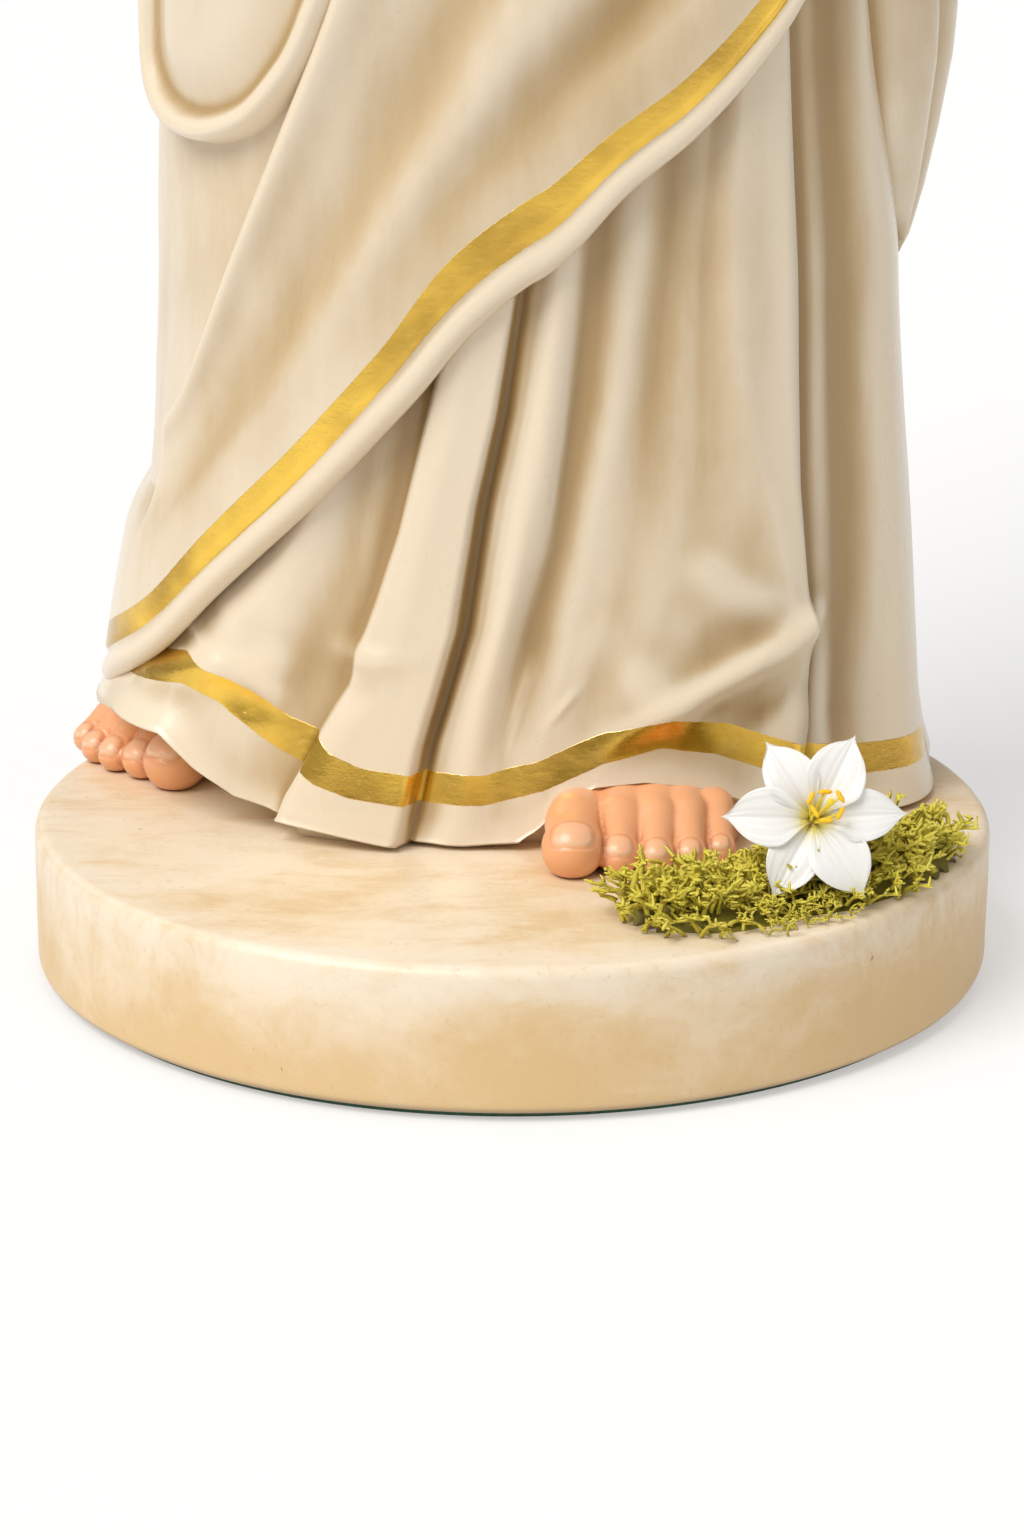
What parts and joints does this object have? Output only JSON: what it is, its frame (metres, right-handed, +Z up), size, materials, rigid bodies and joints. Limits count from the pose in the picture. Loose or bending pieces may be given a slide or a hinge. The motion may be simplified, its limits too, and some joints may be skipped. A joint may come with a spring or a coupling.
{
  "type": "madonna statue",
  "caption": "Standing robed madonna figure with joined hands on a round base, gold-edged ivory drapery, bare feet, a white lily and moss at the foot.",
  "frame": {"origin": "centre of the base's underside, on the surface the statue stands on", "axes": "+Z up, the figure faces -Y, +X towards the figure's left hand side"},
  "size_m": [0.28, 0.28, 1],
  "materials": {
    "base_stone": "satin cream paint with rubbed tan stain",
    "felt": "brown felt",
    "zinc_steel": "zinc plated",
    "hardwood": "plain sanded",
    "brass": "turned",
    "painted_gown": "ivory paint, tan glaze in the folds, satin varnish, gold leaf band",
    "painted_mantle": "ivory paint, tan glaze in the folds, satin varnish, gold leaf band",
    "painted_skin": "gloss painted skin",
    "painted_hair": "satin brown paint",
    "moss": "dyed preserved moss",
    "petal": "soft white artificial petal",
    "stamen": "yellow flocked",
    "stem": "matt green"
  },
  "bodies": {
    "root": {"base": "base_stone", "base_felt": "felt", "fixing_bolts": "zinc_steel", "fixing_washers": "zinc_steel", "anchor_block": "hardwood", "threaded_inserts": "brass", "armature_rod": "zinc_steel", "rod_nut": "zinc_steel", "neck_dowel": "hardwood", "tunic": "painted_gown", "mantle_front": "painted_mantle", "mantle_back": "painted_mantle", "mantle_swag": "painted_mantle", "mantle_fall": "painted_mantle", "sleeve_right": "painted_gown", "sleeve_left": "painted_gown", "hand_right": "painted_skin", "hand_left": "painted_skin", "head": "painted_skin", "hair": "painted_hair", "foot_right": "painted_skin", "foot_left": "painted_skin", "moss_tuft": "moss", "lily_petals": "petal", "lily_stamens": "stamen", "lily_calyx": "stem"}
  },
  "joints": []
}
